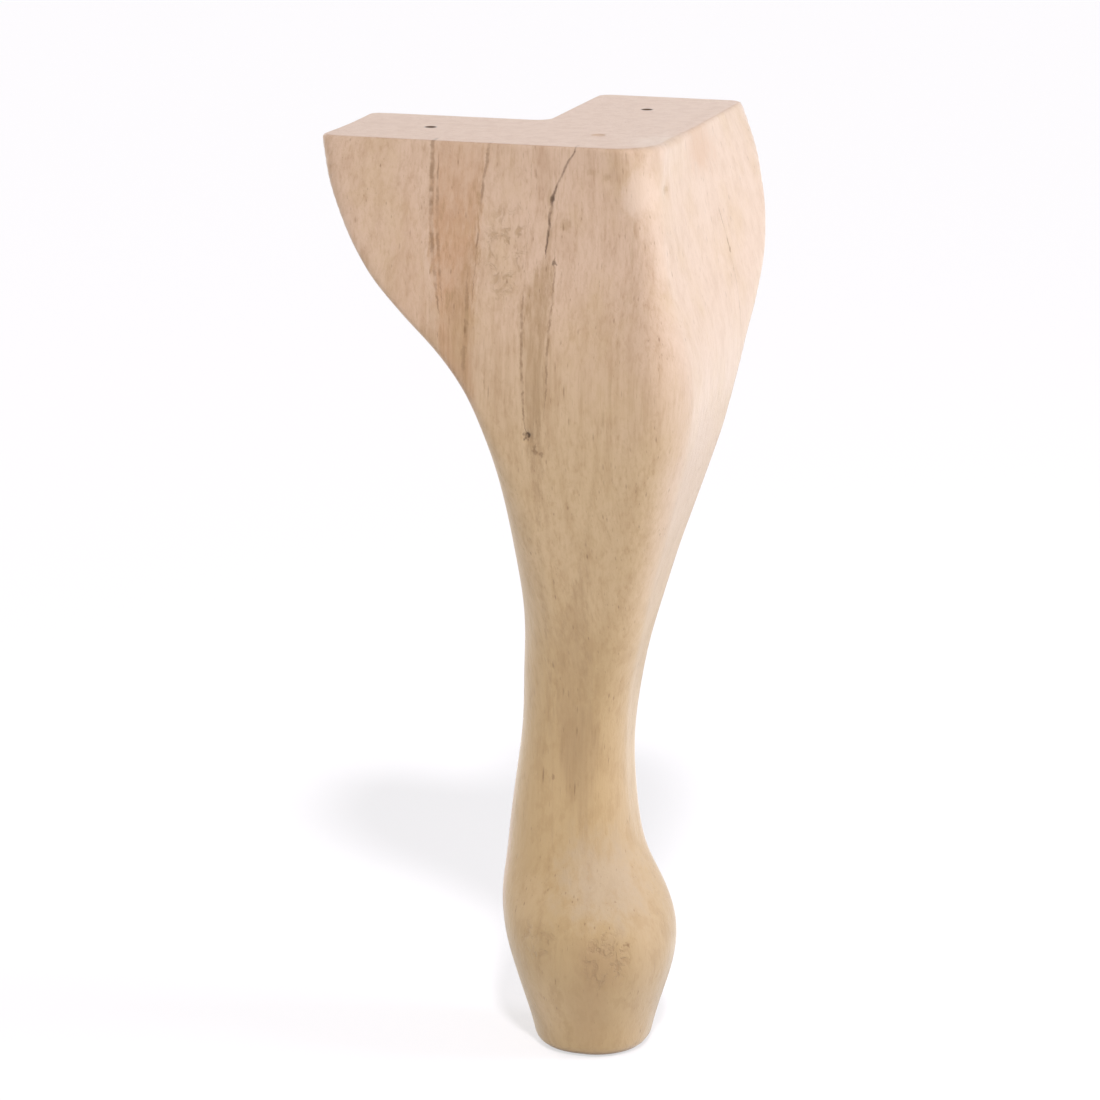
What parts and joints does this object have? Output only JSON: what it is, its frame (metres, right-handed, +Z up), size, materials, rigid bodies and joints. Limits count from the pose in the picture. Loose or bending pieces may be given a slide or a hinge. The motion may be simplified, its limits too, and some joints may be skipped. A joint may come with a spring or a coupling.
{
  "type": "cabriole furniture leg",
  "caption": "Raw carved wooden cabriole leg with a full rounded knee, wings along both rails, a slender ankle and a tapered pad foot, drilled from above for screws.",
  "frame": {"origin": "middle of the foot's flat base on the carving axis, at floor level", "axes": "+Z up along the carving axis; one wing along -X and the other along +Y; the show faces look along -Y and +X"},
  "size_m": [0.1235, 0.1235, 0.3],
  "materials": {
    "raw_wood": "raw sanded"
  },
  "bodies": {
    "root": {"cabriole_leg": "raw_wood"}
  },
  "joints": []
}
